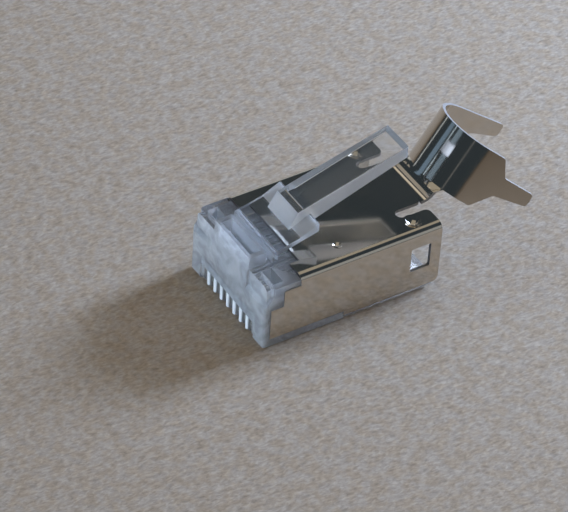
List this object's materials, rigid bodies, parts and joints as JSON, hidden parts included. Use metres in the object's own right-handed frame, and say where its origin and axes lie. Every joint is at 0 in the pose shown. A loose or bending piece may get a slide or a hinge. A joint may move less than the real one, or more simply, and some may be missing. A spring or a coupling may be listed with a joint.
{
  "type": "modular plug",
  "caption": "Shielded modular plug for network cable: clear housing with a latch, contact blades, nickel-plated shield with an open crimp collar.",
  "frame": {"origin": "on the resting face, on the middle plane, 6 mm behind the nose", "axes": "+X across the plug, +Y from the nose to the cable, +Z from the contact side up to the latch side"},
  "size_m": [0.0122, 0.0295, 0.0123],
  "materials": {
    "clear_housing": "clear polycarbonate, glossy with frosted core marks",
    "nickel_sheet": "bright nickel plate on brass sheet",
    "contact_metal": "gold-plated phosphor bronze, bright edges"
  },
  "bodies": {
    "body": {"housing": "clear_housing", "shield": "nickel_sheet", "contact_1": "contact_metal", "contact_2": "contact_metal", "contact_3": "contact_metal", "contact_4": "contact_metal", "contact_5": "contact_metal", "contact_6": "contact_metal", "contact_7": "contact_metal", "contact_8": "contact_metal"},
    "latch_lever": {"latch": "clear_housing"}
  },
  "joints": [
    {"name": "latch_flex", "type": "hinge", "parent": "body", "child": "latch_lever", "pos_m": [0, -0.00322, 0.00726], "axis": [-1, 0, 0], "range_deg": [0, 16], "stiffness_Nm_per_rad": 0.15}
  ]
}
